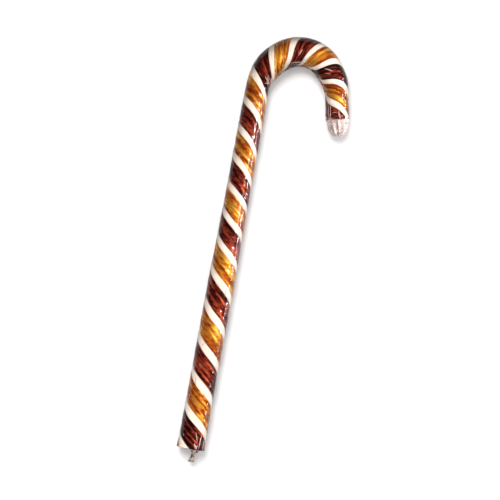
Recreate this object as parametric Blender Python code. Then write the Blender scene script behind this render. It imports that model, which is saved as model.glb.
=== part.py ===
"""Wrapped hard-candy cane, lying on its side.

The shaft runs along +Y and the crook bends over to +X. The cane rests on z = 0 along a
narrow flat. Sizes are metres. Three solids: the candy and the two gathered ends of its
clear film. The skin of film between them is far thinner than a solid can be.
"""
import math

import bmesh
import bpy
from mathutils import Vector

# Middle of the foot in plan, so that the origin lies under the middle of the whole cane.
FOOT_PLACE = (-0.0209, -0.1041)

# Centre line: straight shaft, three bends (shoulder, crown, cheek) given as radius and turn, short leg.
SHAFT_LENGTH = 0.1847
BENDS = (
    (0.02405, math.radians(58.4)),
    (0.0172, math.radians(74.1)),
    (0.0279, math.radians(36.1)),
)
LEG_LENGTH = 0.0119
CANE_LENGTH = SHAFT_LENGTH + sum(radius * turn for radius, turn in BENDS) + LEG_LENGTH

# Stick diameter at distances from the foot: drawn thin by pulling, squeezed thick in the bend.
DIAMETERS = (
    (0.000, 0.0134),
    (0.030, 0.0130),
    (0.088, 0.0131),
    (0.108, 0.0124),
    (0.132, 0.0119),
    (0.174, 0.0118),
    (0.186, 0.0113),
    (0.199, 0.0137),
    (0.207, 0.0138),
    (0.230, 0.0134),
    (0.239, 0.0126),
    (0.250, 0.0108),
    (CANE_LENGTH, 0.0111),
)

# Length of one full turn of the stripes at distances from the foot.
TURN_LENGTHS = (
    (0.000, 0.0344),
    (0.071, 0.0354),
    (0.119, 0.0287),
    (0.175, 0.0297),
    (0.200, 0.0230),
    (0.212, 0.0220),
    (0.224, 0.0183),
    (0.238, 0.0213),
    (CANE_LENGTH, 0.0282),
)
FOOT_PHASE = -0.847  # half turns from the first white stripe, on the upper line at the foot

# Drag of the stripes where the warm stick was bent, in half turns: the lean is how far the inside
# of the crook runs ahead of the outside, the bow how far both sides run ahead of the top.
STRIPE_LEAN = (
    (0.000, -0.02),
    (0.110, 0.03),
    (0.190, 0.07),
    (0.203, 0.14),
    (0.213, -0.05),
    (0.222, -0.01),
    (0.232, -0.15),
    (0.245, -0.04),
)
STRIPE_BOW = (
    (0.120, -0.01),
    (0.140, 0.08),
    (0.190, 0.16),
    (0.203, 0.14),
    (0.222, 0.02),
    (0.245, -0.11),
)

# Section: white, amber, white, dark, each a whole number of facets.
WHITE_FACETS = 3
COLOUR_FACETS = 8
SIDES = 2 * (WHITE_FACETS + COLOUR_FACETS)
RING_TURN = 2.5 / SIDES  # half turns of the stripes between one section ring and the next
CORD_RISE = 0.00014  # white cords stand this much above the stick
SEAM_DIP = 0.00008  # and meet the coloured bands in a shallow seam

FOOT_ROUNDING = 0.0007
TIP_ROUNDING = 0.0019
ROUNDING_RINGS = 3
EDGE_ROOM = 0.0003  # least distance from the last full ring to the rounding of the tip
REST_FLAT = 0.00016  # depth of the flat along the underside
SNAP = 0.00003  # points this close to the rest plane are moved onto it

# Film ends.
GAP = 0.0003  # between neighbouring solids
TAIL_LENGTH = 0.0062
TAIL_SIDE_STEP = 0.0012
TAIL_LEAN = math.radians(11.0)
TAIL_SIDES = 20
TAIL_PLEATS = 5
BUNCH_LENGTH = 0.0078
BUNCH_SIDES = 36
BUNCH_FOLDS = 5
BUNCH_CREASE = 0.30  # the bunch is two lobes, side by side, with a crease between them
CREASE_WIDTH = 0.32

CANDY_COLOUR = (0.36, 0.10, 0.025, 1.0)
FILM_COLOUR = (0.86, 0.84, 0.82, 1.0)


def smooth_between(stations, distance):
    """Value at a distance, eased between its two neighbouring stations."""
    if distance <= stations[0][0]:
        return stations[0][1]
    for (start, first), (end, second) in zip(stations, stations[1:]):
        if distance <= end:
            part = (distance - start) / (end - start)
            return first + (second - first) * part * part * (3.0 - 2.0 * part)
    return stations[-1][1]


def centre_line(distance):
    """Plan position and heading of the centre line; heading 0 is +Y, clockwise positive."""
    x = FOOT_PLACE[0]
    y = FOOT_PLACE[1] + min(distance, SHAFT_LENGTH)
    heading = 0.0
    left = distance - SHAFT_LENGTH
    for radius, turn in BENDS:
        if left <= 0.0:
            return x, y, heading
        angle = min(left / radius, turn)
        x += radius * (math.cos(heading) - math.cos(heading + angle))
        y += radius * (math.sin(heading + angle) - math.sin(heading))
        heading += angle
        left -= radius * angle
    if left > 0.0:
        x += left * math.sin(heading)
        y += left * math.cos(heading)
    return x, y, heading


def stripe_table(step=0.0001):
    """Pairs of distance and half turns made by the stripes up to it."""
    table = [(0.0, FOOT_PHASE)]
    for index in range(math.ceil(CANE_LENGTH / step)):
        middle = (index + 0.5) * step
        advance = 2.0 * step / smooth_between(TURN_LENGTHS, middle)
        table.append(((index + 1) * step, table[-1][1] + advance))
    return table


def look_up(table, value, source, target):
    """Linear reading of one column of a rising table from the other."""
    for first, second in zip(table, table[1:]):
        if value <= second[source]:
            part = (value - first[source]) / (second[source] - first[source])
            return first[target] + (second[target] - first[target]) * part
    return table[-1][target]


def stripe_angle(stripe, phase, distance):
    """Angle round the section at which a stripe lies, with the drag of the bends."""
    lean = smooth_between(STRIPE_LEAN, distance)
    bow = smooth_between(STRIPE_BOW, distance)
    whole = 2.0 * round(0.5 * (stripe - phase))
    target = stripe - phase - whole
    low = -1.0
    high = 1.0
    for _ in range(30):
        middle = 0.5 * (low + high)
        sine = math.sin(math.pi * middle)
        if middle + lean * sine + bow * sine * sine < target:
            low = middle
        else:
            high = middle
    return math.pi * (middle + whole)


def facet_relief(facet):
    """Rise of the stick's surface at one corner of its section."""
    place = facet % (WHITE_FACETS + COLOUR_FACETS)
    if place in (0, WHITE_FACETS):
        return -SEAM_DIP
    return CORD_RISE if place < WHITE_FACETS else 0.0


def section_point(distance, angle, radius):
    """Point on the stick's surface; angle runs from the top towards the inside of the crook."""
    x, y, heading = centre_line(distance)
    height = 0.5 * smooth_between(DIAMETERS, distance) - REST_FLAT
    across = radius * math.sin(angle)
    return Vector((
        x + across * math.cos(heading),
        y - across * math.sin(heading),
        height + radius * math.cos(angle),
    ))


def rounded_end(rounding):
    """Distance from the end and loss of radius for the rings of a rounded edge, end first."""
    angles = [0.5 * math.pi * ring / ROUNDING_RINGS for ring in range(ROUNDING_RINGS)]
    return [(rounding * (1.0 - math.cos(angle)), rounding * (1.0 - math.sin(angle))) for angle in angles]


def candy_stations(table):
    """Distances of the section rings, with the radius lost to the rounding of each end."""
    last_phase = look_up(table, CANE_LENGTH, 0, 1)
    last_distance = CANE_LENGTH - TIP_ROUNDING - EDGE_ROOM
    stations = rounded_end(FOOT_ROUNDING)
    phase = FOOT_PHASE + RING_TURN
    while phase < last_phase:
        distance = look_up(table, phase, 1, 0)
        if FOOT_ROUNDING < distance < last_distance:
            stations.append((distance, 0.0))
        phase += RING_TURN
    stations.append((CANE_LENGTH - TIP_ROUNDING, 0.0))
    for inset, loss in reversed(rounded_end(TIP_ROUNDING)):
        stations.append((CANE_LENGTH - inset, loss))
    return stations


def loft(name, rings):
    """Closed mesh through rings of points, triangulated along the shorter way round."""
    mesh = bpy.data.meshes.new(name)
    shape = bmesh.new()
    rows = [[shape.verts.new(point) for point in ring] for ring in rings]
    for lower, upper in zip(rows, rows[1:]):
        count = len(lower)
        for index in range(count):
            following = (index + 1) % count
            shape.faces.new((lower[index], lower[following], upper[following]))
            shape.faces.new((lower[index], upper[following], upper[index]))
    shape.faces.new(list(reversed(rows[0])))
    shape.faces.new(rows[-1])
    bmesh.ops.recalc_face_normals(shape, faces=shape.faces)
    return mesh, shape


def flatten_underside(shape):
    """Cut the body level at the rest plane."""
    for vertex in shape.verts:
        if abs(vertex.co.z) < SNAP:
            vertex.co.z = 0.0
    bmesh.ops.bisect_plane(
        shape,
        geom=shape.verts[:] + shape.edges[:] + shape.faces[:],
        dist=1e-7,
        plane_co=(0.0, 0.0, 0.0),
        plane_no=(0.0, 0.0, 1.0),
        clear_inner=True,
    )
    open_edges = [edge for edge in shape.edges if edge.is_boundary]
    bmesh.ops.holes_fill(shape, edges=open_edges, sides=0)


def finish(mesh, shape, colour, roughness, alpha=1.0):
    """Write the body into its mesh, shade it smooth and give it its own material."""
    bmesh.ops.triangulate(shape, faces=[face for face in shape.faces if len(face.verts) > 3])
    shape.to_mesh(mesh)
    shape.free()
    mesh.shade_smooth()
    mesh.set_sharp_from_angle(angle=math.radians(50.0))
    body = bpy.data.objects.new(mesh.name, mesh)
    bpy.context.scene.collection.objects.link(body)
    material = bpy.data.materials.new(mesh.name)
    material.use_nodes = True
    surface = material.node_tree.nodes["Principled BSDF"]
    surface.inputs["Base Color"].default_value = colour
    surface.inputs["Roughness"].default_value = roughness
    surface.inputs["Alpha"].default_value = alpha
    surface.inputs["Coat Weight"].default_value = 0.6
    mesh.materials.append(material)
    return body


def make_candy():
    """The striped stick, twisted section by section along the cane."""
    table = stripe_table()
    rings = []
    for distance, loss in candy_stations(table):
        phase = look_up(table, distance, 0, 1)
        base = 0.5 * smooth_between(DIAMETERS, distance) - loss
        ring = []
        for facet in range(SIDES):
            stripe = (facet - 0.5 * WHITE_FACETS) * 2.0 / SIDES
            angle = stripe_angle(stripe, phase, distance)
            ring.append(section_point(distance, angle, base + facet_relief(facet)))
        rings.append(ring)
    mesh, shape = loft("candy", rings)
    flatten_underside(shape)
    return finish(mesh, shape, CANDY_COLOUR, 0.15)


def make_foot_tail():
    """Film pinched into a short pleated tail at the cut foot."""
    profile = (
        # part of the length, half width, half height, depth of the pleats
        (0.00, 0.0030, 0.0026, 0.10),
        (0.16, 0.0022, 0.0019, 0.16),
        (0.36, 0.0016, 0.0013, 0.22),
        (0.60, 0.0014, 0.0010, 0.26),
        (0.82, 0.0017, 0.0010, 0.26),
        (1.00, 0.0020, 0.0008, 0.22),
    )
    height = 0.5 * DIAMETERS[0][1] - REST_FLAT
    rings = []
    for part, half_width, half_height, pleat in profile:
        along = part * TAIL_LENGTH
        middle_x = TAIL_SIDE_STEP + along * math.tan(TAIL_LEAN)
        ring = []
        for index in range(TAIL_SIDES):
            angle = 2.0 * math.pi * index / TAIL_SIDES
            swell = 1.0 + pleat * math.cos(TAIL_PLEATS * angle + 2.5 * part)
            ring.append(Vector((
                FOOT_PLACE[0] + middle_x + half_width * swell * math.cos(angle),
                FOOT_PLACE[1] - GAP - along,
                height - 0.25 * along + half_height * swell * math.sin(angle),
            )))
        rings.append(ring)
    mesh, shape = loft("film_foot_tail", rings)
    return finish(mesh, shape, FILM_COLOUR, 0.2, alpha=0.35)


def make_tip_bunch():
    """Film crumpled into a blunt bunch over the end of the crook."""
    profile = (
        # part of the length, share of the tip's radius, depth of the folds
        (0.00, 0.90, 0.03),
        (0.10, 0.95, 0.05),
        (0.28, 0.93, 0.08),
        (0.48, 0.88, 0.11),
        (0.68, 0.76, 0.13),
        (0.86, 0.56, 0.14),
        (1.00, 0.30, 0.12),
    )
    tip_radius = 0.5 * smooth_between(DIAMETERS, CANE_LENGTH)
    rings = []
    for part, share, fold in profile:
        distance = CANE_LENGTH + GAP + part * BUNCH_LENGTH
        ring = []
        for index in range(BUNCH_SIDES):
            angle = 2.0 * math.pi * index / BUNCH_SIDES
            folds = math.cos(BUNCH_FOLDS * angle + 2.2 * part)
            folds += 0.6 * math.cos((2 * BUNCH_FOLDS - 1) * angle - 3.1 * part + 0.7)
            swell = 1.0 + fold * (folds / 1.6 - 0.35)
            crease = math.exp(-((math.sin(angle) / CREASE_WIDTH) ** 2))
            swell -= BUNCH_CREASE * part * crease
            ring.append(section_point(distance, -angle, tip_radius * share * swell))
        rings.append(ring)
    mesh, shape = loft("film_tip_bunch", rings)
    lowest = min(vertex.co.z for vertex in shape.verts)
    if lowest < 0.0:
        for vertex in shape.verts:
            vertex.co.z -= lowest
    return finish(mesh, shape, FILM_COLOUR, 0.2, alpha=0.35)


for old in list(bpy.data.objects):
    bpy.data.objects.remove(old, do_unlink=True)

make_candy()
make_foot_tail()
make_tip_bunch()
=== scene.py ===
import math

import bpy
import numpy as np
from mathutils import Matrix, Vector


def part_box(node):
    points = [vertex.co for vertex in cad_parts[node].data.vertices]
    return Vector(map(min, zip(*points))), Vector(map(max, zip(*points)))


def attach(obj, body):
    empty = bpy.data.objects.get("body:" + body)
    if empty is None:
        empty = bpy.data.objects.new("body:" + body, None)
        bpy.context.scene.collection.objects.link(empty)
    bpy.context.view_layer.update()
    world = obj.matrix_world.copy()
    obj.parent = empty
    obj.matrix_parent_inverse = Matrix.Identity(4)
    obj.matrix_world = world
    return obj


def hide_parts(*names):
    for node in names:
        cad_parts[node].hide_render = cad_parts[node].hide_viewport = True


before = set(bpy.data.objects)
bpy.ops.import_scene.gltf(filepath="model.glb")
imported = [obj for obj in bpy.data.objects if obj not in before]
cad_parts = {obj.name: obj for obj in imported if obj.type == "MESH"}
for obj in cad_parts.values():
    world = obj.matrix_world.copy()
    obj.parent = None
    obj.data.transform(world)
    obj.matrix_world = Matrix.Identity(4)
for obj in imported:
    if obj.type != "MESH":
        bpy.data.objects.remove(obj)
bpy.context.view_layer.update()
candyLow = list(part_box("candy")[0])
random = np.random.default_rng(24)

# the cane's route and thickness, as the frame has them (metres, along the stick from the foot)
cane = {
    "shoulderReach": 0.006761,  # the frame's left side is this far left of the shaft's axis
    "shaftLength": 0.1847,
    "bends": [(0.02405, 58.4), (0.0172, 74.1), (0.0279, 36.1)],  # radius, degrees
    "legLength": 0.0119,
    "restFlat": 0.00016,
    "diameters": [
        (0.000, 0.0134), (0.030, 0.0130), (0.088, 0.0131), (0.108, 0.0124), (0.132, 0.0119),
        (0.174, 0.0118), (0.186, 0.0113), (0.199, 0.0137), (0.207, 0.0138), (0.230, 0.0134),
        (0.239, 0.0126), (0.250, 0.0108), (0.2609, 0.0111),
    ],
    "turnLengths": [
        (0.000, 0.0344), (0.071, 0.0354), (0.119, 0.0287), (0.175, 0.0297), (0.200, 0.0230),
        (0.212, 0.0220), (0.224, 0.0183), (0.238, 0.0213), (0.2609, 0.0282),
    ],
    "footPhase": -0.847,  # half turns of the stripes at the foot, on the upper line
    # half turns by which bending dragged the stripes: inside ahead of outside, and sides ahead of top
    "stripeLean": [
        (0.000, -0.02), (0.110, 0.03), (0.190, 0.07), (0.203, 0.14),
        (0.213, -0.05), (0.222, -0.01), (0.232, -0.15), (0.245, -0.04),
    ],
    "stripeBow": [
        (0.120, -0.01), (0.140, 0.08), (0.190, 0.16), (0.203, 0.14), (0.222, 0.02), (0.245, -0.11),
    ],
    "meanRadius": 0.0064,  # scales the maps that the streaks follow
}
footX = candyLow[0] + cane["shoulderReach"]
footY = candyLow[1]
bends = [(radius, math.radians(turn)) for radius, turn in cane["bends"]]
caneLength = cane["shaftLength"] + sum(radius * turn for radius, turn in bends) + cane["legLength"]


def eased(stations, distance):
    # value at each distance, eased between neighbouring stations
    places = np.array([station[0] for station in stations])
    values = np.array([station[1] for station in stations])
    distance = np.clip(distance, places[0], places[-1])
    low = np.clip(np.searchsorted(places, distance, side="right") - 1, 0, len(places) - 2)
    part = (distance - places[low]) / (places[low + 1] - places[low])
    return values[low] + (values[low + 1] - values[low]) * part * part * (3 - 2 * part)


def routeAt(distance):
    # plan position and heading; heading 0 is +Y and grows towards +X
    distance = np.asarray(distance, float)
    x = np.full(distance.shape, footX)
    y = footY + np.minimum(distance, cane["shaftLength"])
    heading = np.zeros(distance.shape)
    left = np.maximum(distance - cane["shaftLength"], 0)
    for radius, turn in bends:
        angle = np.minimum(left / radius, turn)
        x = x + radius * (np.cos(heading) - np.cos(heading + angle))
        y = y + radius * (np.sin(heading + angle) - np.sin(heading))
        heading = heading + angle
        left = np.maximum(left - radius * turn, 0)
    return x + left * np.sin(heading), y + left * np.cos(heading), heading


tableDistance = np.linspace(0, caneLength, 4001)
tableStep = tableDistance[1]
tableAdvance = 2 * tableStep / eased(cane["turnLengths"], tableDistance[:-1] + tableStep / 2)
tablePhase = cane["footPhase"] + np.concatenate([[0], np.cumsum(tableAdvance)])


def phaseAt(distance):
    return np.interp(distance, tableDistance, tablePhase)


def angleAt(distance, stripe):
    # angle round the stick where each row's stripe coordinate lies, one row per distance
    turn = np.linspace(-1, 1, 241)
    sine = np.sin(math.pi * turn)
    lean, bow = eased(cane["stripeLean"], distance), eased(cane["stripeBow"], distance)
    target = stripe - phaseAt(distance)[:, None]
    angles = np.empty(target.shape)
    for row in range(len(distance)):
        laid = turn + lean[row] * sine + bow[row] * sine * sine
        whole = 2 * np.round(target[row] / 2)
        angles[row] = np.interp(target[row] - whole, laid, turn) + whole
    return math.pi * angles


def surfacePoint(distance, angle, radius, lowest):
    # angle 0 is the top, and grows towards the inside of the crook
    x, y, heading = routeAt(distance)
    height = eased(cane["diameters"], distance) / 2 - cane["restFlat"]
    across = radius * np.sin(angle)
    z = np.maximum(height + radius * np.cos(angle), lowest)
    return np.stack([x + across * np.cos(heading), y - across * np.sin(heading), z], axis=-1)


def ripple(first, second, seed, octaves=5, growth=1.7):
    # smooth uneven waves over two coordinates, from about -1 to 1
    source = np.random.default_rng(seed)
    total = np.zeros(np.broadcast(first, second).shape)
    scale, weight, weights = 1.0, 1.0, 0.0
    for octave in range(octaves):
        for wave in range(3):
            turn = source.uniform(0, math.pi)
            shift = source.uniform(0, 2 * math.pi)
            place = first * math.cos(turn) + second * math.sin(turn)
            total = total + weight * np.sin(scale * place + shift)
        weights += weight * 1.6
        scale *= growth
        weight *= 0.72
    return total / weights


# in the baking map a long strip lies in lanes, and the end faces in a row of small boxes over them
laneMap = {"margin": 0.02, "width": 0.96, "start": 0.01, "length": 0.93}
endMap = {"largest": 0.045, "span": 0.98, "fill": 0.9, "corner": (0.005, 0.95), "stripeScale": (1000, 4000)}


def gridPiece(name, points, stripeMap, bakeMap, material, closed=False, capped=False, sharp=55.0, strips=1):
    # one mesh from rows of points, with a map along the stripes and a map for baking;
    # the rows may hold several separate strips, one after the other
    rows, columns = points.shape[:2]
    across = columns if closed else columns - 1
    length = rows // strips
    row = np.arange(rows - 1)[:, None]
    kept = (row[:, 0] + 1) % length != 0
    column = np.arange(across)[None, :]
    after = (column + 1) % columns
    lower = row * columns
    upper = (row + 1) * columns
    corners = [lower + column, lower + after, upper + after, upper + column]
    faces = np.stack([np.broadcast_to(corner, (rows - 1, across)) for corner in corners], axis=-1)
    faces = faces[kept].reshape(-1, 4)
    polygons = faces.tolist()
    ends = []
    if capped:
        for strip in range(strips):
            first, last = strip * length * columns, (strip * length + length - 1) * columns
            ends.append([first + index for index in range(columns)][::-1])
            ends.append([last + index for index in range(columns)])
    polygons += ends
    mesh = bpy.data.meshes.new(name)
    mesh.from_pydata(points.reshape(-1, 3).tolist(), [], polygons)
    for mapName, makeMap in (("OFBake", bakeMap), ("stripe", stripeMap)):
        layer = mesh.uv_layers.new(name=mapName)
        values = np.zeros((len(mesh.loops), 2), np.float32)
        values[: faces.size] = makeMap(rows, columns, across)[kept].reshape(-1, 2)
        if capped:
            flat = points.reshape(-1, 3)[np.array(ends)][:, :, [0, 2]]
            if mapName == "OFBake":
                size = min(endMap["largest"], endMap["span"] / len(ends))
                flat = flat - flat.min(axis=1, keepdims=True)
                flat = flat / flat.max() * size * endMap["fill"] + endMap["corner"]
                flat[:, :, 0] += size * np.arange(len(ends))[:, None]
            else:
                flat = flat * endMap["stripeScale"]
            values[faces.size :] = flat.reshape(-1, 2)
        layer.data.foreach_set("uv", values.ravel())
    mesh.shade_smooth()
    mesh.set_sharp_from_angle(angle=math.radians(sharp))
    mesh.materials.append(material)
    piece = bpy.data.objects.new(name, mesh)
    bpy.context.scene.collection.objects.link(piece)
    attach(piece, "root")
    return piece


def cornerMap(rowValues, columnValues):
    # UVs of each face's four corners, from one value per row and one per column edge
    u = np.stack([columnValues[:-1], columnValues[1:], columnValues[1:], columnValues[:-1]], axis=-1)
    v = np.stack([rowValues[:-1], rowValues[:-1], rowValues[1:], rowValues[1:]], axis=-1)
    shape = (len(rowValues) - 1, len(columnValues) - 1, 4)
    return np.stack([np.broadcast_to(u[None], shape), np.broadcast_to(v[:, None], shape)], axis=-1)


def foldedMap(lanes):
    # a long strip laid in the square as lanes side by side, so that it bakes sharply
    def make(rows, columns, across):
        laneOfRow = np.minimum(np.arange(rows - 1) * lanes // (rows - 1), lanes - 1)
        first = np.array([np.argmax(laneOfRow == lane) for lane in range(lanes)])
        count = np.bincount(laneOfRow, minlength=lanes)
        place = (np.arange(rows - 1) - first[laneOfRow]) / count[laneOfRow]
        step = 1 / count[laneOfRow]
        width = 1 / lanes
        column = np.linspace(0, 1, across + 1)
        left = laneOfRow[:, None] + laneMap["margin"]
        low = (left + laneMap["width"] * column[None, :-1]) * width
        high = (left + laneMap["width"] * column[None, 1:]) * width
        start = np.broadcast_to((laneMap["start"] + laneMap["length"] * place)[:, None], low.shape)
        end = laneMap["start"] + laneMap["length"] * (place + step)
        end = np.broadcast_to(end[:, None], low.shape)
        u = np.stack([low, high, high, low], axis=-1)
        v = np.stack([start, start, end, end], axis=-1)
        return np.stack([u, v], axis=-1)
    return make


def newGroup(name, numbers, outputs):
    group = bpy.data.node_groups.new(name, "ShaderNodeTree")
    for label, value in numbers:
        socket = group.interface.new_socket(label, in_out="INPUT", socket_type="NodeSocketFloat")
        socket.default_value = value
    for label, kind in outputs:
        group.interface.new_socket(label, in_out="OUTPUT", socket_type=kind)
    return group, group.nodes.new("NodeGroupInput"), group.nodes.new("NodeGroupOutput")


def wire(tree, start, startSocket, end, endSocket):
    tree.links.new(start.outputs[startSocket], end.inputs[endSocket])


def mathNode(tree, operation, first, second=None, clamp=False):
    node = tree.nodes.new("ShaderNodeMath")
    node.operation = operation
    node.use_clamp = clamp
    for index, value in enumerate((first, second)):
        if value is None:
            continue
        if isinstance(value, (int, float)):
            node.inputs[index].default_value = value
        else:
            tree.links.new(value, node.inputs[index])
    return node.outputs[0]


def makeStreakGroup():
    # long uneven streaks along a stripe: the stripe map holds millimetres across and along
    group, inside, outside = newGroup(
        "pulledStreaks",
        [("Across", 1.4), ("Along", 0.11), ("Waver", 0.5), ("Seed", 0.0)],
        [("Streak", "NodeSocketFloat"), ("Fibre", "NodeSocketFloat"), ("Patch", "NodeSocketFloat")],
    )
    place = group.nodes.new("ShaderNodeUVMap")
    place.uv_map = "stripe"
    split = group.nodes.new("ShaderNodeSeparateXYZ")
    wire(group, place, "UV", split, 0)
    patch = group.nodes.new("ShaderNodeTexNoise")
    patch.inputs["Scale"].default_value = 0.42
    patch.inputs["Detail"].default_value = 2.0
    wire(group, place, "UV", patch, "Vector")
    waver = mathNode(group, "SUBTRACT", patch.outputs[0], 0.5)
    waver = mathNode(group, "MULTIPLY", waver, inside.outputs["Waver"])
    acrossPlace = mathNode(group, "ADD", split.outputs[0], waver)
    results = {}
    for label, finer in (("Streak", 1.0), ("Fibre", 3.1)):
        joined = group.nodes.new("ShaderNodeCombineXYZ")
        across = mathNode(group, "MULTIPLY", acrossPlace, inside.outputs["Across"])
        along = mathNode(group, "MULTIPLY", split.outputs[1], inside.outputs["Along"])
        group.links.new(mathNode(group, "MULTIPLY", across, finer), joined.inputs[0])
        group.links.new(mathNode(group, "MULTIPLY", along, finer), joined.inputs[1])
        group.links.new(mathNode(group, "ADD", inside.outputs["Seed"], finer), joined.inputs[2])
        noise = group.nodes.new("ShaderNodeTexNoise")
        noise.inputs["Scale"].default_value = 1.0
        noise.inputs["Detail"].default_value = 2.0
        noise.inputs["Roughness"].default_value = 0.5
        wire(group, joined, 0, noise, "Vector")
        results[label] = noise.outputs[0]
    group.links.new(results["Streak"], outside.inputs["Streak"])
    group.links.new(results["Fibre"], outside.inputs["Fibre"])
    group.links.new(patch.outputs[0], outside.inputs["Patch"])
    return group


def useGroup(tree, group, values):
    node = tree.nodes.new("ShaderNodeGroup")
    node.node_tree = group
    for label, value in values.items():
        node.inputs[label].default_value = value
    return node


def colourRamp(tree, value, stops):
    ramp = tree.nodes.new("ShaderNodeValToRGB")
    elements = ramp.color_ramp.elements
    while len(elements) < len(stops):
        elements.new(0.5)
    for element, (position, colour) in zip(elements, stops):
        element.position = position
        element.color = (*colour, 1)
    tree.links.new(value, ramp.inputs[0])
    return ramp.outputs[0]


def newMaterial(name):
    material = bpy.data.materials.new(name)
    material.use_nodes = True
    tree = material.node_tree
    return material, tree, tree.nodes["Principled BSDF"]


streakGroup = makeStreakGroup()

# the sugar: colours from the darkest to the lightest streaks
sugar = {
    "amber": {
        "streaks": {"Across": 0.30, "Along": 0.070, "Waver": 2.2, "Seed": 3.0},
        "colours": [
            (0.36, (0.17, 0.023, 0.0022)),
            (0.46, (0.33, 0.068, 0.0055)),
            (0.55, (0.57, 0.190, 0.018)),
            (0.66, (0.93, 0.48, 0.082)),
        ],
        "sheen": [(0.36, 0.20), (0.50, 0.42), (0.64, 0.78)],
        "roughness": 0.47, "subsurface": 0.15, "radius": (1.0, 0.4, 0.08),
        "depth": 0.0008, "bump": 0.5, "patch": 0.45, "fibre": 0.14,
        # lighter or darker along the stick
        "tone": [
            (0.023, -0.02), (0.058, 0.00), (0.093, 0.04), (0.123, 0.02), (0.152, 0.03), (0.181, 0.00),
            (0.205, 0.01), (0.226, 0.07), (0.248, -0.03),
        ],
    },
    "dark": {
        "streaks": {"Across": 0.42, "Along": 0.055, "Waver": 1.7, "Seed": 11.0},
        "colours": [
            (0.385, (0.007, 0.0005, 0.0007)),
            (0.465, (0.052, 0.0035, 0.0028)),
            (0.54, (0.17, 0.016, 0.0085)),
            (0.64, (0.45, 0.072, 0.028)),
        ],
        "sheen": [(0.38, 0.15), (0.50, 0.40), (0.62, 0.68)],
        "roughness": 0.44, "subsurface": 0.10, "radius": (1.0, 0.2, 0.1),
        "depth": 0.0006, "bump": 0.5, "patch": 0.40, "fibre": 0.10,
        "tone": [
            (0.008, -0.06), (0.041, 0.00), (0.076, 0.06), (0.108, 0.03), (0.137, 0.01), (0.166, 0.01),
            (0.194, -0.04), (0.216, -0.01), (0.237, -0.09), (0.257, 0.01),
        ],
    },
    "white": {
        "streaks": {"Across": 1.3, "Along": 0.12, "Waver": 0.4, "Seed": 23.0},
        "colours": [
            (0.30, (0.67, 0.550, 0.440)),
            (0.50, (0.735, 0.64, 0.555)),
            (0.70, (0.775, 0.70, 0.63)),
        ],
        "sheen": [(0.0, 0.0), (1.0, 0.0)],
        "roughness": 0.40, "subsurface": 0.30, "radius": (1.0, 0.75, 0.45),
        "depth": 0.0007, "bump": 0.15, "patch": 0.3, "fibre": 0.40,
        "tone": [(0.0, 0.0), (0.26, 0.0)],
    },
}


def makeSugar(name):
    look = sugar[name]
    material, tree, surface = newMaterial(name + "Sugar")
    streaks = useGroup(tree, streakGroup, look["streaks"])
    fibre = mathNode(tree, "SUBTRACT", streaks.outputs["Fibre"], 0.5)
    fibre = mathNode(tree, "MULTIPLY", fibre, look["fibre"])
    patch = mathNode(tree, "SUBTRACT", streaks.outputs["Patch"], 0.5)
    patch = mathNode(tree, "MULTIPLY", patch, look["patch"])
    mixed = mathNode(tree, "ADD", streaks.outputs["Streak"], fibre)
    mixed = mathNode(tree, "ADD", mixed, patch)
    tone = tree.nodes.new("ShaderNodeAttribute")
    tone.attribute_name = "tone"
    mixed = mathNode(tree, "ADD", mixed, tone.outputs["Fac"], clamp=True)
    tree.links.new(colourRamp(tree, mixed, look["colours"]), surface.inputs["Base Color"])
    sheen = colourRamp(tree, mixed, [(place, (value, value, value)) for place, value in look["sheen"]])
    tree.links.new(sheen, surface.inputs["Metallic"])
    rough = mathNode(tree, "MULTIPLY", streaks.outputs["Patch"], 0.25)
    rough = mathNode(tree, "ADD", rough, look["roughness"] - 0.12)
    tree.links.new(rough, surface.inputs["Roughness"])
    relief = tree.nodes.new("ShaderNodeBump")
    relief.inputs["Strength"].default_value = look["bump"]
    relief.inputs["Distance"].default_value = 0.0002
    tree.links.new(mixed, relief.inputs["Height"])
    wire(tree, relief, 0, surface, "Normal")
    surface.inputs["Specular IOR Level"].default_value = 0.06
    surface.inputs["Subsurface Weight"].default_value = look["subsurface"]
    surface.inputs["Subsurface Radius"].default_value = look["radius"]
    surface.inputs["Subsurface Scale"].default_value = look["depth"]
    return material


# each stripe: where it starts and ends in half turns, and how its surface rises
stripes = {
    "whiteCordA": {"sugar": "white", "start": 0, "end": 1, "columns": 16, "ribs": 0, "lanes": 9},
    "amberBand": {"sugar": "amber", "start": 1, "end": 2, "columns": 44, "ribs": 4, "lanes": 6},
    "whiteCordB": {"sugar": "white", "start": 2, "end": 3, "columns": 16, "ribs": 0, "lanes": 9},
    "darkBand": {"sugar": "dark", "start": 3, "end": 4, "columns": 44, "ribs": 5, "lanes": 6},
}
section = {
    "whiteHalf": 3 / 22,  # half a white cord's share of a half turn
    "wobble": 0.010,
    "cordRise": 0.00014,
    "seamDip": 0.00010,
    "seamWidth": 0.00045,
    "ribRise": {"amber": 0.00007, "dark": 0.00006, "white": 0.0},
    "lumpRise": {"amber": 0.00007, "dark": 0.00007, "white": 0.00002},
    "innerShare": 0.42,
    "rowsPerHalfTurn": 60,
    "footRounding": 0.0007,
    "tipRounding": 0.0019,
    "lowest": 0.00012,
}


def borderPhase(index, distance):
    # the four borders between stripes round the stick, each slightly uneven
    turn, border = divmod(index, 4)
    half = section["whiteHalf"]
    base = (-half, half, 1 - half, 1 + half)[border] + 2 * turn
    return base + section["wobble"] * ripple(distance * 420, border * 9.0, 50 + border, octaves=3)


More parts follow.
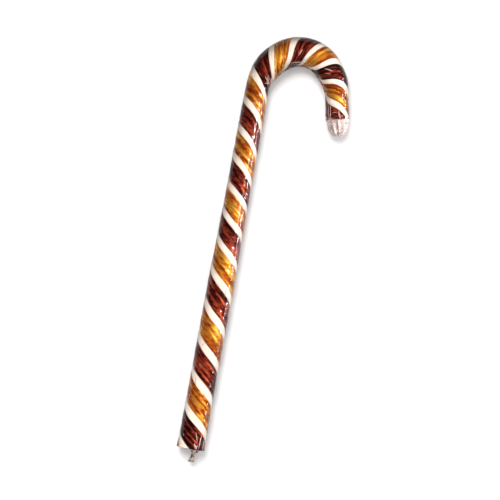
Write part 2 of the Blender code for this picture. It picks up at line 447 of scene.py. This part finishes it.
def stickRows():
    # distances of the rows and the radius lost in the rounding of each end
    phases = np.arange(tablePhase[0], tablePhase[-1], 1 / section["rowsPerHalfTurn"])
    middle = np.interp(phases, tablePhase, tableDistance)
    foot, tip = section["footRounding"], section["tipRounding"]
    middle = middle[(middle > foot * 1.1) & (middle < caneLength - tip * 1.05)]
    angles = np.linspace(0, math.pi / 2, 7)
    footRows = foot * (1 - np.cos(angles))
    footLoss = foot * (1 - np.sin(angles))
    tipRows = caneLength - tip * (1 - np.cos(angles[::-1]))
    tipLoss = tip * (1 - np.sin(angles[::-1]))
    distance = np.concatenate([footRows, middle, tipRows])
    loss = np.concatenate([footLoss, np.zeros(len(middle)), tipLoss])
    return distance, loss


def addTone(piece, kind, distance, columns):
    # how much lighter or darker the sugar is at each row of the piece
    tone = piece.data.attributes.new("tone", "FLOAT", "POINT")
    values = np.repeat(eased(sugar[kind]["tone"], distance), columns)
    tone.data.foreach_set("value", values.astype(np.float32))


def makeStripe(name, seed):
    look = stripes[name]
    kind = look["sugar"]
    distance, loss = stickRows()
    columns = look["columns"]
    share = np.linspace(0, 1, columns + 1)[None, :]
    start = borderPhase(look["start"], distance)[:, None]
    end = borderPhase(look["end"], distance)[:, None]
    phase = start + (end - start) * share
    angle = angleAt(distance, phase)
    base = (eased(cane["diameters"], distance) / 2 - loss)[:, None]
    width = math.pi * (end - start) * base
    edge = np.minimum(share, 1 - share) * width
    alongMm = distance[:, None] * 1000
    acrossMm = (share - 0.5) * width * 1000
    rise = -section["seamDip"] * np.exp(-((edge / section["seamWidth"]) ** 2))
    if kind == "white":
        rise = rise + section["cordRise"] * (1 - (2 * share - 1) ** 4)
    inward = 1 - np.exp(-((edge / (2 * section["seamWidth"])) ** 2))
    waver = 0.9 * ripple(alongMm * 0.35, acrossMm * 0.3, seed)
    ribs = np.cos(2 * math.pi * look["ribs"] * share + waver)
    strength = 0.65 + 0.35 * ripple(alongMm * 0.5, acrossMm * 0.8, seed + 1)
    rise = rise + section["ribRise"][kind] * ribs * strength * inward
    rise = rise + section["lumpRise"][kind] * ripple(alongMm * 1.3, acrossMm * 1.9, seed + 2) * inward
    outer = surfacePoint(distance[:, None], angle, base + rise, section["lowest"])
    innerAngle = np.linspace(angle[:, -1], angle[:, 0], 5, axis=1)
    inner = surfacePoint(distance[:, None], innerAngle, base * section["innerShare"], section["lowest"])
    points = np.concatenate([outer, inner], axis=1)
    halfTurnShare = section["whiteHalf"] * 2 if kind == "white" else 1 - 2 * section["whiteHalf"]
    stripeWidth = 1000 * math.pi * halfTurnShare * cane["meanRadius"]
    steps = np.hypot(np.diff(distance), cane["meanRadius"] * math.pi * np.diff(phaseAt(distance)))
    helix = np.concatenate([[0], np.cumsum(steps)])
    there, back = np.linspace(0, stripeWidth, columns + 1), np.linspace(stripeWidth, 0, 5)
    acrossColumns = np.concatenate([there, back, [0]])

    def stripeMap(rows, count, across):
        return cornerMap(helix * 1000, acrossColumns)

    piece = gridPiece(
        name, points, stripeMap, foldedMap(look["lanes"]), sugarMaterials[kind], closed=True, capped=True
    )
    addTone(piece, kind, distance, points.shape[1])
    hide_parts("candy")
    return piece


sugarMaterials = {name: makeSugar(name) for name in sugar}
print("sugar materials made")
bandPieces = [makeStripe(name, 100 + 10 * index) for index, name in enumerate(stripes)]
print("stripes twisted")


core = {"columns": 24, "share": 0.2, "everyRow": 8, "mapWidth": 16}  # share of the stick's thickness


def makeCore():
    distance = stickRows()[0][:: core["everyRow"]]
    angle = np.linspace(0, 2 * math.pi, core["columns"] + 1)[None, :-1]
    radius = eased(cane["diameters"], distance)[:, None] * core["share"]
    radius = np.broadcast_to(radius, (len(distance), core["columns"]))
    points = surfacePoint(distance[:, None], np.broadcast_to(angle, radius.shape), radius, section["lowest"])

    def stripeMap(rows, count, across):
        return cornerMap(distance * 1000, np.linspace(0, core["mapWidth"], across + 1))

    piece = gridPiece(
        "candyCore", points, stripeMap, foldedMap(4), sugarMaterials["amber"], closed=True, capped=True
    )
    addTone(piece, "amber", distance, core["columns"])
    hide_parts("candy")
    return piece


bandPieces.append(makeCore())

# the clear film, from the skin to its gathered ends
film = {
    "stand": 0.00022,  # skin's height over the stick
    "wrinkle": 0.00008,
    "lowest": 0.00003,
    "rows": 520,
    "columns": 168,
    "pleats": 18,
    "pleatReach": 0.0062,  # how far up the shaft the foot's pleats run
    "pleatRise": 0.00042,
    # where the crook bends, the film bridges its inside in a low fin
    "fin": [
        (0.186, 0.0), (0.206, 0.0007), (0.219, 0.0010), (0.234, 0.0008), (0.246, 0.0005), (0.2609, 0.0004),
    ],
    "finAngle": 92,
    "finWidth": 17.0,
    "closeShares": (0.18, 0.97),  # the film closes over the cut foot towards its tail
    "closeRows": 9,
    "closeDepth": 0.0003,
    "firstRow": 0.0002,
    "tipReach": 0.0004,
    "tipShare": 0.90,
    "roughness": 0.09,
    "crinkle": 900.0,
    "crinkleDepth": 0.0001,
    "haze": 0.015,  # only where the film is seen at a slant
    "hazeColour": (0.88, 0.86, 0.86, 1),
}
# creases where the film is folded on itself: start and end as distance (metres) and degrees, and width
folds = {
    "placed": [
        (0.0090, 11, 0.0041, 24, 0.00055), (0.0079, 40, 0.0007, 35, 0.00060),
        (0.0072, -43, 0.0058, -39, 0.00028), (0.0034, 14, 0.0004, 22, 0.00090),
        (0.0026, 28, 0.0004, 24, 0.00070), (0.1920, 16, 0.1885, 66, 0.00060),
        (0.1950, 34, 0.1915, 76, 0.00045), (0.2090, 55, 0.2190, 58, 0.00040),
        (0.2150, 22, 0.2172, -2, 0.00070), (0.2330, 18, 0.2362, -4, 0.00060),
        (0.2352, 30, 0.2372, 8, 0.00045), (0.2525, 39, 0.2612, 42, 0.00045),
        (0.2570, 34, 0.2574, 6, 0.00040), (0.2535, 55, 0.2611, 52, 0.00060),
        (0.2560, -4, 0.2608, -10, 0.00090), (0.1938, 26, 0.1890, 40, 0.00045),
        (0.1926, 38, 0.1878, 50, 0.00060), (0.1936, 50, 0.1898, 62, 0.00050),
        (0.1883, 30, 0.1900, 58, 0.00040),
    ],
    "footCount": 13,  # shorter ones round the foot's hidden side
    "crookCount": 16,  # and across the inside of the bend, underneath
    "shaftCount": 70,  # fine ones along the shaft
    "footAngles": (62, 20),  # first one, and the step to the next
    "crookPlaces": (0.190, 0.0042),
    "shaftPlaces": (0.012, 0.172),  # first place and the length they are spread over
    "turnRadius": 0.0062,
    "rise": 0.00022,
    "rows": 13,
    "columns": 8,
}
tail = {
    # part of the length, half width, half height, pleat depth, sideways place
    "stations": [
        (0.00, 0.0026, 0.0024, 0.10, 0.0022),
        (0.14, 0.0016, 0.0015, 0.20, 0.0023),
        (0.32, 0.0010, 0.0010, 0.26, 0.0022),
        (0.55, 0.0009, 0.0008, 0.30, 0.0019),
        (0.80, 0.0012, 0.0008, 0.34, 0.0017),
        (1.00, 0.0013, 0.0006, 0.36, 0.0015),
    ],
    "pleats": 9,
    "twist": 2.4,
    "droop": 0.25,
    "rows": 40,
    "columns": 90,
}
flare = {
    "start": 0.0008,
    "length": 0.0034,
    "sideways": (0.0024, 0.0021),  # from the shaft's axis at its root, and further at its end
    "reach": [(0, 0.0004), (0.5, 0.0010), (0.85, 0.0016), (1.0, 0.0013)],
    "narrow": 0.35,
    "deep": 0.8,
    "fall": 0.0007,
    "thickness": 0.00005,
    "flutter": 0.0003,
    "rows": 16,
    "columns": 24,
}
bunch = {
    "length": 0.0078,
    "gap": 0.0003,
    "lowest": 0.0002,
    "share": [
        (0, 1.045), (0.06, 1.04), (0.14, 0.97), (0.28, 0.93),
        (0.48, 0.86), (0.68, 0.75), (0.86, 0.57), (1, 0.32),
    ],
    "fold": [
        (0, 0.02), (0.06, 0.03), (0.14, 0.06), (0.28, 0.09),
        (0.48, 0.11), (0.68, 0.13), (0.86, 0.15), (1, 0.14),
    ],
    "overlap": 0.0008,  # how far its uneven edge runs back over the stick
    "crease": 0.44,
    "creaseWidth": 0.30,
    "crumple": 0.05,
    "rows": 54,
    "columns": 150,
}
# each "crease" colour here is painted shade that darkens the film's creases; "fade" darkens the tint towards
# the far end
gathered = {
    "bunch": {
        "light": (0.61, 0.49, 0.43), "dusk": (0.41, 0.33, 0.31), "crease": (0.09, 0.055, 0.05),
        "cover": 0.80, "scale": 300.0, "fade": 0.008, "roughness": 0.14,
    },
    "tail": {
        "light": (0.42, 0.34, 0.28), "dusk": (0.10, 0.08, 0.07), "crease": (0.05, 0.035, 0.03),
        "cover": 0.90, "scale": 420.0, "fade": 0.020, "roughness": 0.15,
    },
    "folds": {
        "light": (0.58, 0.38, 0.33), "dusk": (0.40, 0.24, 0.21), "crease": (0.25, 0.13, 0.12),
        "cover": 0.50, "scale": 500.0, "fade": 0.0, "roughness": 0.30,
    },
}


def makeSkinMaterial(name):
    # thin clear film: see-through, with gloss and a little haze where it is seen at a slant
    material, tree, surface = newMaterial(name)
    tree.nodes.remove(surface)
    output = tree.nodes["Material Output"]
    place = tree.nodes.new("ShaderNodeTexCoord")
    crinkle = tree.nodes.new("ShaderNodeTexNoise")
    crinkle.inputs["Scale"].default_value = film["crinkle"]
    crinkle.inputs["Detail"].default_value = 4.0
    wire(tree, place, "Object", crinkle, "Vector")
    relief = tree.nodes.new("ShaderNodeBump")
    relief.inputs["Strength"].default_value = 0.25
    relief.inputs["Distance"].default_value = film["crinkleDepth"]
    wire(tree, crinkle, 0, relief, "Height")
    gloss = tree.nodes.new("ShaderNodeBsdfGlossy")
    gloss.inputs["Roughness"].default_value = film["roughness"]
    wire(tree, relief, 0, gloss, "Normal")
    clear = tree.nodes.new("ShaderNodeBsdfTransparent")
    white = tree.nodes.new("ShaderNodeBsdfDiffuse")
    white.inputs["Color"].default_value = film["hazeColour"]
    layer = tree.nodes.new("ShaderNodeLayerWeight")
    layer.inputs["Blend"].default_value = 0.25
    wire(tree, relief, 0, layer, "Normal")
    amount = mathNode(tree, "MULTIPLY", layer.outputs["Facing"], film["haze"], clamp=True)
    body = tree.nodes.new("ShaderNodeMixShader")
    tree.links.new(amount, body.inputs[0])
    wire(tree, clear, 0, body, 1)
    wire(tree, white, 0, body, 2)
    fresnel = tree.nodes.new("ShaderNodeFresnel")
    fresnel.inputs["IOR"].default_value = 1.33
    wire(tree, relief, 0, fresnel, "Normal")
    skin = tree.nodes.new("ShaderNodeMixShader")
    wire(tree, fresnel, 0, skin, 0)
    wire(tree, body, 0, skin, 1)
    wire(tree, gloss, 0, skin, 2)
    wire(tree, skin, 0, output, "Surface")
    return material


def makeGatheredMaterial(name, look):
    # many layers of the film together: cloudy, tinted by what lies under them, with painted shade in the
    # creases, and darker towards the far end by the fade
    material, tree, surface = newMaterial(name)
    place = tree.nodes.new("ShaderNodeTexCoord")
    lobes = tree.nodes.new("ShaderNodeTexNoise")
    lobes.inputs["Scale"].default_value = look["scale"]
    lobes.inputs["Detail"].default_value = 1.0
    wire(tree, place, "Object", lobes, "Vector")
    fine = tree.nodes.new("ShaderNodeTexNoise")
    fine.inputs["Scale"].default_value = look["scale"] * 4
    fine.inputs["Detail"].default_value = 3.0
    fine.inputs["Distortion"].default_value = 0.6
    wire(tree, place, "Object", fine, "Vector")
    ridge = mathNode(tree, "ABSOLUTE", mathNode(tree, "SUBTRACT", fine.outputs[0], 0.5))
    along = tree.nodes.new("ShaderNodeUVMap")
    along.uv_map = "stripe"
    split = tree.nodes.new("ShaderNodeSeparateXYZ")
    wire(tree, along, "UV", split, 0)
    tone = mathNode(tree, "MULTIPLY", split.outputs[1], look["fade"])
    tone = mathNode(tree, "SUBTRACT", lobes.outputs[0], tone, clamp=True)
    tints = colourRamp(tree, tone, [(0.40, look["dusk"]), (0.54, look["light"])])
    # painted shade: the crease colour darkens the lines along the fine noise's middle, standing in for shade
    # in the creases
    crease = colourRamp(tree, ridge, [(0.0, (0, 0, 0)), (0.06, (1, 1, 1))])
    mix = tree.nodes.new("ShaderNodeMix")
    mix.data_type = "RGBA"
    tree.links.new(crease, mix.inputs[0])
    mix.inputs[6].default_value = (*look["crease"], 1)
    tree.links.new(tints, mix.inputs[7])
    tree.links.new(mix.outputs[2], surface.inputs["Base Color"])
    rough = mathNode(tree, "MULTIPLY", lobes.outputs[0], 0.15)
    rough = mathNode(tree, "ADD", rough, look["roughness"])
    tree.links.new(rough, surface.inputs["Roughness"])
    cover = mathNode(tree, "MULTIPLY", ridge, 1.2)
    cover = mathNode(tree, "SUBTRACT", look["cover"] + 0.08, cover, clamp=True)
    tree.links.new(cover, surface.inputs["Alpha"])
    relief = tree.nodes.new("ShaderNodeBump")
    relief.inputs["Strength"].default_value = 0.7
    relief.inputs["Distance"].default_value = 0.0003
    wire(tree, fine, 0, relief, "Height")
    wire(tree, relief, 0, surface, "Normal")
    return material


filmMaterials = {
    "skin": makeSkinMaterial("clearFilm"),
    "bunch": makeGatheredMaterial("bunchedFilm", gathered["bunch"]),
    "tail": makeGatheredMaterial("twistedFilm", gathered["tail"]),
    "folds": makeGatheredMaterial("foldedFilm", gathered["folds"]),
}


def ridgeAt(angle, centre, width):
    # a rounded ridge along the stick, its middle and width in degrees
    return np.exp(-(((np.degrees(angle) - centre) / width) ** 2))


def makeSkin():
    # the tight skin from the foot to the tip
    columns = film["columns"]
    angle = np.linspace(-math.pi, math.pi, columns + 1)[None, :-1]
    closing = np.linspace(*film["closeShares"], film["closeRows"])
    footRows = film["closeDepth"] * closing ** 3 - film["closeDepth"]
    stickPart = np.linspace(film["firstRow"], caneLength - film["closeDepth"], film["rows"])
    distance = np.concatenate([footRows, stickPart, [caneLength + film["tipReach"]]])[:, None]
    share = np.concatenate([closing, np.ones(film["rows"]), [film["tipShare"]]])[:, None]
    base = (eased(cane["diameters"], distance) / 2 + film["stand"]) * share
    nearFoot = np.clip(1 - np.abs(distance) / film["pleatReach"], 0, 1)
    pleat = np.cos(film["pleats"] * angle + 1.1 + 0.7 * ripple(angle * 2, distance * 300, 7))
    strength = 0.6 + 0.4 * ripple(angle * 4, distance * 0, 17)
    pleat = np.clip(pleat, 0, 1) ** 2 * strength * film["pleatRise"] * nearFoot ** 1.2 * share
    fin = eased(film["fin"], distance) * ridgeAt(angle, film["finAngle"], film["finWidth"])
    wrinkle = film["wrinkle"] * ripple(distance * 1700, angle * 9, 8, octaves=3)
    radius = base + pleat + wrinkle + fin
    points = surfacePoint(distance, np.broadcast_to(angle, radius.shape), radius, film["lowest"])

    def stripeMap(rows, count, across):
        return cornerMap(distance[:, 0] * 1000, np.linspace(0, 40, across + 1))

    piece = gridPiece("filmSkin", points, stripeMap, foldedMap(3), filmMaterials["skin"], closed=True)
    return piece


def foldRings(fold):
    # one crease of film as a low rounded strip along the skin, tapering at both ends
    startPlace, startAngle, endPlace, endAngle, width = fold
    part = np.linspace(0, 1, folds["rows"])[:, None]
    turn = np.linspace(0, 2 * math.pi, folds["columns"] + 1)[None, :-1]
    taper = np.sin(math.pi * (0.03 + 0.94 * part)) ** 0.6
    distance = startPlace + (endPlace - startPlace) * part
    angle = np.radians(startAngle + (endAngle - startAngle) * part)
    radius = eased(cane["diameters"], distance) / 2 + film["stand"]
    run = np.array([endPlace - startPlace, math.radians(endAngle - startAngle) * folds["turnRadius"]])
    run = run / np.hypot(*run)
    across = width / 2 * taper * np.cos(turn) + 0.12 * width * np.sin(5 * part)
    rise = folds["rise"] * taper * np.where(np.sin(turn) > 0, np.sin(turn), 0.4 * np.sin(turn))
    angle = angle + run[0] * across / radius
    return surfacePoint(distance - run[1] * across, angle, radius + rise, film["lowest"])


def makeFolds():
    listed = list(folds["placed"])
    firstAngle, angleStep = folds["footAngles"]
    for index in range(folds["footCount"]):
        angle = firstAngle + index * angleStep + random.uniform(-6, 6)
        place = random.uniform(0.003, 0.009)
        startAngle = angle + random.uniform(-9, 9)
        listed.append((place, startAngle, 0.0006, angle, random.uniform(0.0003, 0.0005)))
    firstPlace, placeStep = folds["crookPlaces"]
    for index in range(folds["crookCount"]):
        place = firstPlace + placeStep * index + random.uniform(-0.001, 0.001)
        angle = random.uniform(84, 104)
        endAngle = angle + random.uniform(18, 46)
        endPlace = place + random.uniform(-0.002, 0.002)
        listed.append((place, angle, endPlace, endAngle, random.uniform(0.0003, 0.0005)))
    firstPlace, span = folds["shaftPlaces"]
    for index in range(folds["shaftCount"]):
        place = firstPlace + span * (index + random.uniform(0, 1)) / folds["shaftCount"]
        angle = random.uniform(-180, 180)
        endPlace = place + random.uniform(0.0015, 0.0055)
        endAngle = angle + random.uniform(-14, 14)
        listed.append((place, angle, endPlace, endAngle, random.uniform(0.00020, 0.00034)))
    rings = np.concatenate([foldRings(fold) for fold in listed])
    count = len(listed)

    def stripeMap(rows, columns, across):
        return cornerMap(np.arange(rows) % folds["rows"] / 3, np.linspace(0, 2, across + 1))

    piece = gridPiece(
        "filmFolds", rings, stripeMap, foldedMap(count), filmMaterials["folds"],
        closed=True, capped=True, strips=count,
    )
    return piece


def makeTail():
    # the twisted end at the foot
    low, high = (list(corner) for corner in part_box("film_foot_tail"))
    length = high[1] - low[1]
    height = eased(cane["diameters"], np.zeros(1))[0] / 2 - cane["restFlat"]
    turn = np.linspace(0, 2 * math.pi, tail["columns"] + 1)[:-1]
    rings = []
    for part in np.linspace(0, 1, tail["rows"]):
        halfWidth, halfHeight, pleat, shift = (
            eased([(station[0], station[column]) for station in tail["stations"]], np.array([part]))[0]
            for column in (1, 2, 3, 4)
        )
        fold = 1 - 2 * np.abs(np.sin(tail["pleats"] / 2 * turn + tail["twist"] * part))
        swell = 1 + pleat * fold
        x = footX + shift + halfWidth * swell * np.cos(turn)
        y = np.full(turn.shape, high[1] - part * length) + 0.0003 * part * np.cos(3 * turn)
        z = height - tail["droop"] * part * length + halfHeight * swell * np.sin(turn)
        rings.append(np.stack([x, y, z], axis=-1))

    def stripeMap(rows, count, across):
        return cornerMap(np.linspace(0, 6, rows), np.linspace(0, 12, across + 1))

    piece = gridPiece(
        "filmTail", np.array(rings), stripeMap, foldedMap(1), filmMaterials["tail"],
        closed=True, capped=True, sharp=40,
    )
    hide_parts("film_foot_tail")
    return piece


def makeFlare():
    # a leaf of film that stands out beside the twist
    footEnd = list(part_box("film_foot_tail")[1])[1]
    height = eased(cane["diameters"], np.zeros(1))[0] / 2 - cane["restFlat"]
    part = np.linspace(0, 1, flare["rows"])[:, None]
    turn = np.linspace(0, 2 * math.pi, flare["columns"] + 1)[None, :-1]
    reach = eased(flare["reach"], part)
    root, spread = flare["sideways"]
    x = footX + root + spread * part - flare["narrow"] * reach * np.cos(turn)
    y = footEnd - flare["start"] - flare["length"] * part + reach * np.cos(turn) * flare["deep"]
    z = height - flare["fall"] * part + flare["thickness"] * np.sin(turn)
    z = z + flare["flutter"] * np.sin(9 * part + 2 * np.cos(turn)) * part
    points = np.stack(np.broadcast_arrays(x, y, z), axis=-1)[:, ::-1]

    def stripeMap(rows, count, across):
        return cornerMap(np.linspace(0, 4, rows), np.linspace(0, 4, across + 1))

    piece = gridPiece(
        "filmFlare", points, stripeMap, foldedMap(1), filmMaterials["folds"], closed=True, capped=True
    )
    return piece


def makeBunch():
    # the gathered end over the tip, with a deep crease down its middle
    parts = np.linspace(0, 1, bunch["rows"])[:, None]
    angle = np.linspace(0, 2 * math.pi, bunch["columns"] + 1)[None, :-1]
    share = eased(bunch["share"], parts)
    fold = eased(bunch["fold"], parts)
    waver = 0.35 * ripple(angle * 2, parts * 7, 29)
    wide = np.cos(5 * angle + 2.2 * parts + waver)
    narrow = 1 - 2 * np.abs(np.sin(5.5 * angle - 1.6 * parts + 0.4 + waver))
    crease = bunch["crease"] * parts ** 0.6 * np.exp(-((np.sin(angle + 0.10) / bunch["creaseWidth"]) ** 2))
    swell = 1 + fold * (0.55 * wide + 0.75 * narrow - 0.25) - crease
    swell = swell + bunch["crumple"] * ripple(angle * 7, parts * 16, 31)
    radius = eased(cane["diameters"], np.full(parts.shape, caneLength)) / 2 * share * swell
    ragged = bunch["overlap"] * (1 - parts) ** 3 * (1 + 0.8 * ripple(angle * 4, parts * 0, 37, octaves=3))
    distance = caneLength + bunch["gap"] + parts * bunch["length"] - ragged
    points = surfacePoint(distance, -np.broadcast_to(angle, radius.shape), radius, bunch["lowest"])

    def stripeMap(rows, count, across):
        return cornerMap(np.linspace(0, 7, rows), np.linspace(0, 30, across + 1))

    piece = gridPiece(
        "filmBunch", points, stripeMap, foldedMap(1), filmMaterials["bunch"],
        closed=True, capped=True, sharp=35,
    )
    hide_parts("film_tip_bunch")
    return piece


filmPieces = [makeSkin(), makeFolds(), makeTail(), makeFlare(), makeBunch()]
print("film wrapped")

# floor, lights and camera
stage = {
    "floorSize": 6.0,
    "floorColour": (0.90, 0.90, 0.90, 1),
    "backdrop": (0.96, 0.96, 0.96, 1),
    "ambient": (0.97, 0.98, 1.0, 1),
    "ambientStrength": 0.095,
    "floorLight": {"lean": (-15.0, 28.0), "spread": 28.0, "strength": 2.1},
    "floorFill": {"lean": (0.0, 0.0), "spread": 130.0, "strength": 2.35},
    "overhead": {"place": (0.06, 0.16, 0.85), "size": (0.70, 0.70), "power": 9.3, "gloss": False},
    "left": {"place": (-0.26, -0.25, 0.25), "size": (0.30, 0.30), "power": 1.40, "gloss": False},
    "side": {"place": (0.760, 0.144, 0.635), "size": (0.80, 0.80), "power": 10.0, "gloss": True},
    # lights the amber and dark bands only, from the same side
    "glow": {
        "place": (0.670, 0.144, 0.720), "size": (0.80, 0.80), "power": 11.0, "gloss": True,
        "colour": (0.94, 1.03, 0.76),
    },
    "glint": {"place": (0.760, 0.144, 0.640), "size": (0.08, 0.14), "power": 9.0, "gloss": True},
    "rim": {
        "place": (0.980, 0.180, 0.080), "size": (0.50, 0.12), "power": 11.0, "gloss": True,
        "colour": (0.98, 0.82, 0.94),
    },
}
view = {"lean": 10.52, "aim": (-0.0096, -0.0001, 0.007), "frameWidth": 0.2525, "height": 1.6, "sensor": 36}


def makeFloor():
    mesh = bpy.data.meshes.new("floor")
    half = stage["floorSize"] / 2
    corners = [(-half, -half, 0), (half, -half, 0), (half, half, 0), (-half, half, 0)]
    mesh.from_pydata(corners, [], [(0, 1, 2, 3)])
    material, tree, surface = newMaterial("paleFloor")
    surface.inputs["Base Color"].default_value = stage["floorColour"]
    surface.inputs["Roughness"].default_value = 0.9
    surface.inputs["Specular IOR Level"].default_value = 0.1
    mesh.materials.append(material)
    floor = bpy.data.objects.new("floor", mesh)
    bpy.context.scene.collection.objects.link(floor)
    return floor


def placeLight(name, lamp, place, receivers):
    # a light that looks at the middle of the cane and lights only the pieces given
    light = bpy.data.objects.new(name, lamp)
    light.location = place
    flat = math.hypot(place[0], place[1])
    light.rotation_euler = (math.atan2(flat, place[2]), 0, math.atan2(-place[1], -place[0]) - math.pi / 2)
    bpy.context.scene.collection.objects.link(light)
    group = bpy.data.collections.new(name + "Pieces")
    for piece in receivers:
        group.objects.link(piece)
    light.light_linking.receiver_collection = group
    return light


def areaLight(name, receivers):
    values = stage[name]
    lamp = bpy.data.lights.new(name, "AREA")
    lamp.shape = "RECTANGLE"
    lamp.size, lamp.size_y = values["size"]
    lamp.energy = values["power"]
    lamp.color = values.get("colour", (1, 1, 1))
    light = placeLight(name, lamp, values["place"], receivers)
    light.visible_glossy = values["gloss"]


def sunLight(name, receivers):
    values = stage[name]
    lamp = bpy.data.lights.new(name, "SUN")
    lamp.angle = math.radians(values["spread"])
    lamp.energy = values["strength"]
    across, along = (math.tan(math.radians(lean)) for lean in values["lean"])
    placeLight(name, lamp, (across, along, 1.0), receivers)


def makeWorld():
    # a pale backdrop to look at, and only a little light from all round
    world = bpy.data.worlds.new("world")
    world.use_nodes = True
    tree = world.node_tree
    around = tree.nodes["Background"]
    around.inputs["Color"].default_value = stage["ambient"]
    around.inputs["Strength"].default_value = stage["ambientStrength"]
    backdrop = tree.nodes.new("ShaderNodeBackground")
    backdrop.inputs["Color"].default_value = stage["backdrop"]
    path = tree.nodes.new("ShaderNodeLightPath")
    mix = tree.nodes.new("ShaderNodeMixShader")
    wire(tree, path, "Is Camera Ray", mix, 0)
    wire(tree, around, 0, mix, 1)
    wire(tree, backdrop, 0, mix, 2)
    wire(tree, mix, 0, tree.nodes["World Output"], "Surface")
    bpy.context.scene.world = world


floor = makeFloor()
for name in ("floorLight", "floorFill"):
    sunLight(name, [floor])
for name in ("overhead", "left"):
    areaLight(name, bandPieces + filmPieces[1:])
whites = [piece for piece in bandPieces if "white" in piece.name]
areaLight("side", whites + filmPieces[1:])
areaLight("glow", [piece for piece in bandPieces if piece not in whites])
for name in ("glint", "rim"):
    areaLight(name, filmPieces)
makeWorld()
bpy.context.scene.view_settings.view_transform = "Standard"

camera = bpy.data.objects.new("camera", bpy.data.cameras.new("camera"))
camera.location = (view["aim"][0], view["aim"][1], view["height"])
camera.rotation_euler = (0, 0, math.radians(view["lean"]))
camera.data.sensor_width = view["sensor"]
camera.data.lens = view["sensor"] * (view["height"] - view["aim"][2]) / view["frameWidth"]
bpy.context.scene.collection.objects.link(camera)
bpy.context.scene.camera = camera
print("stage set")
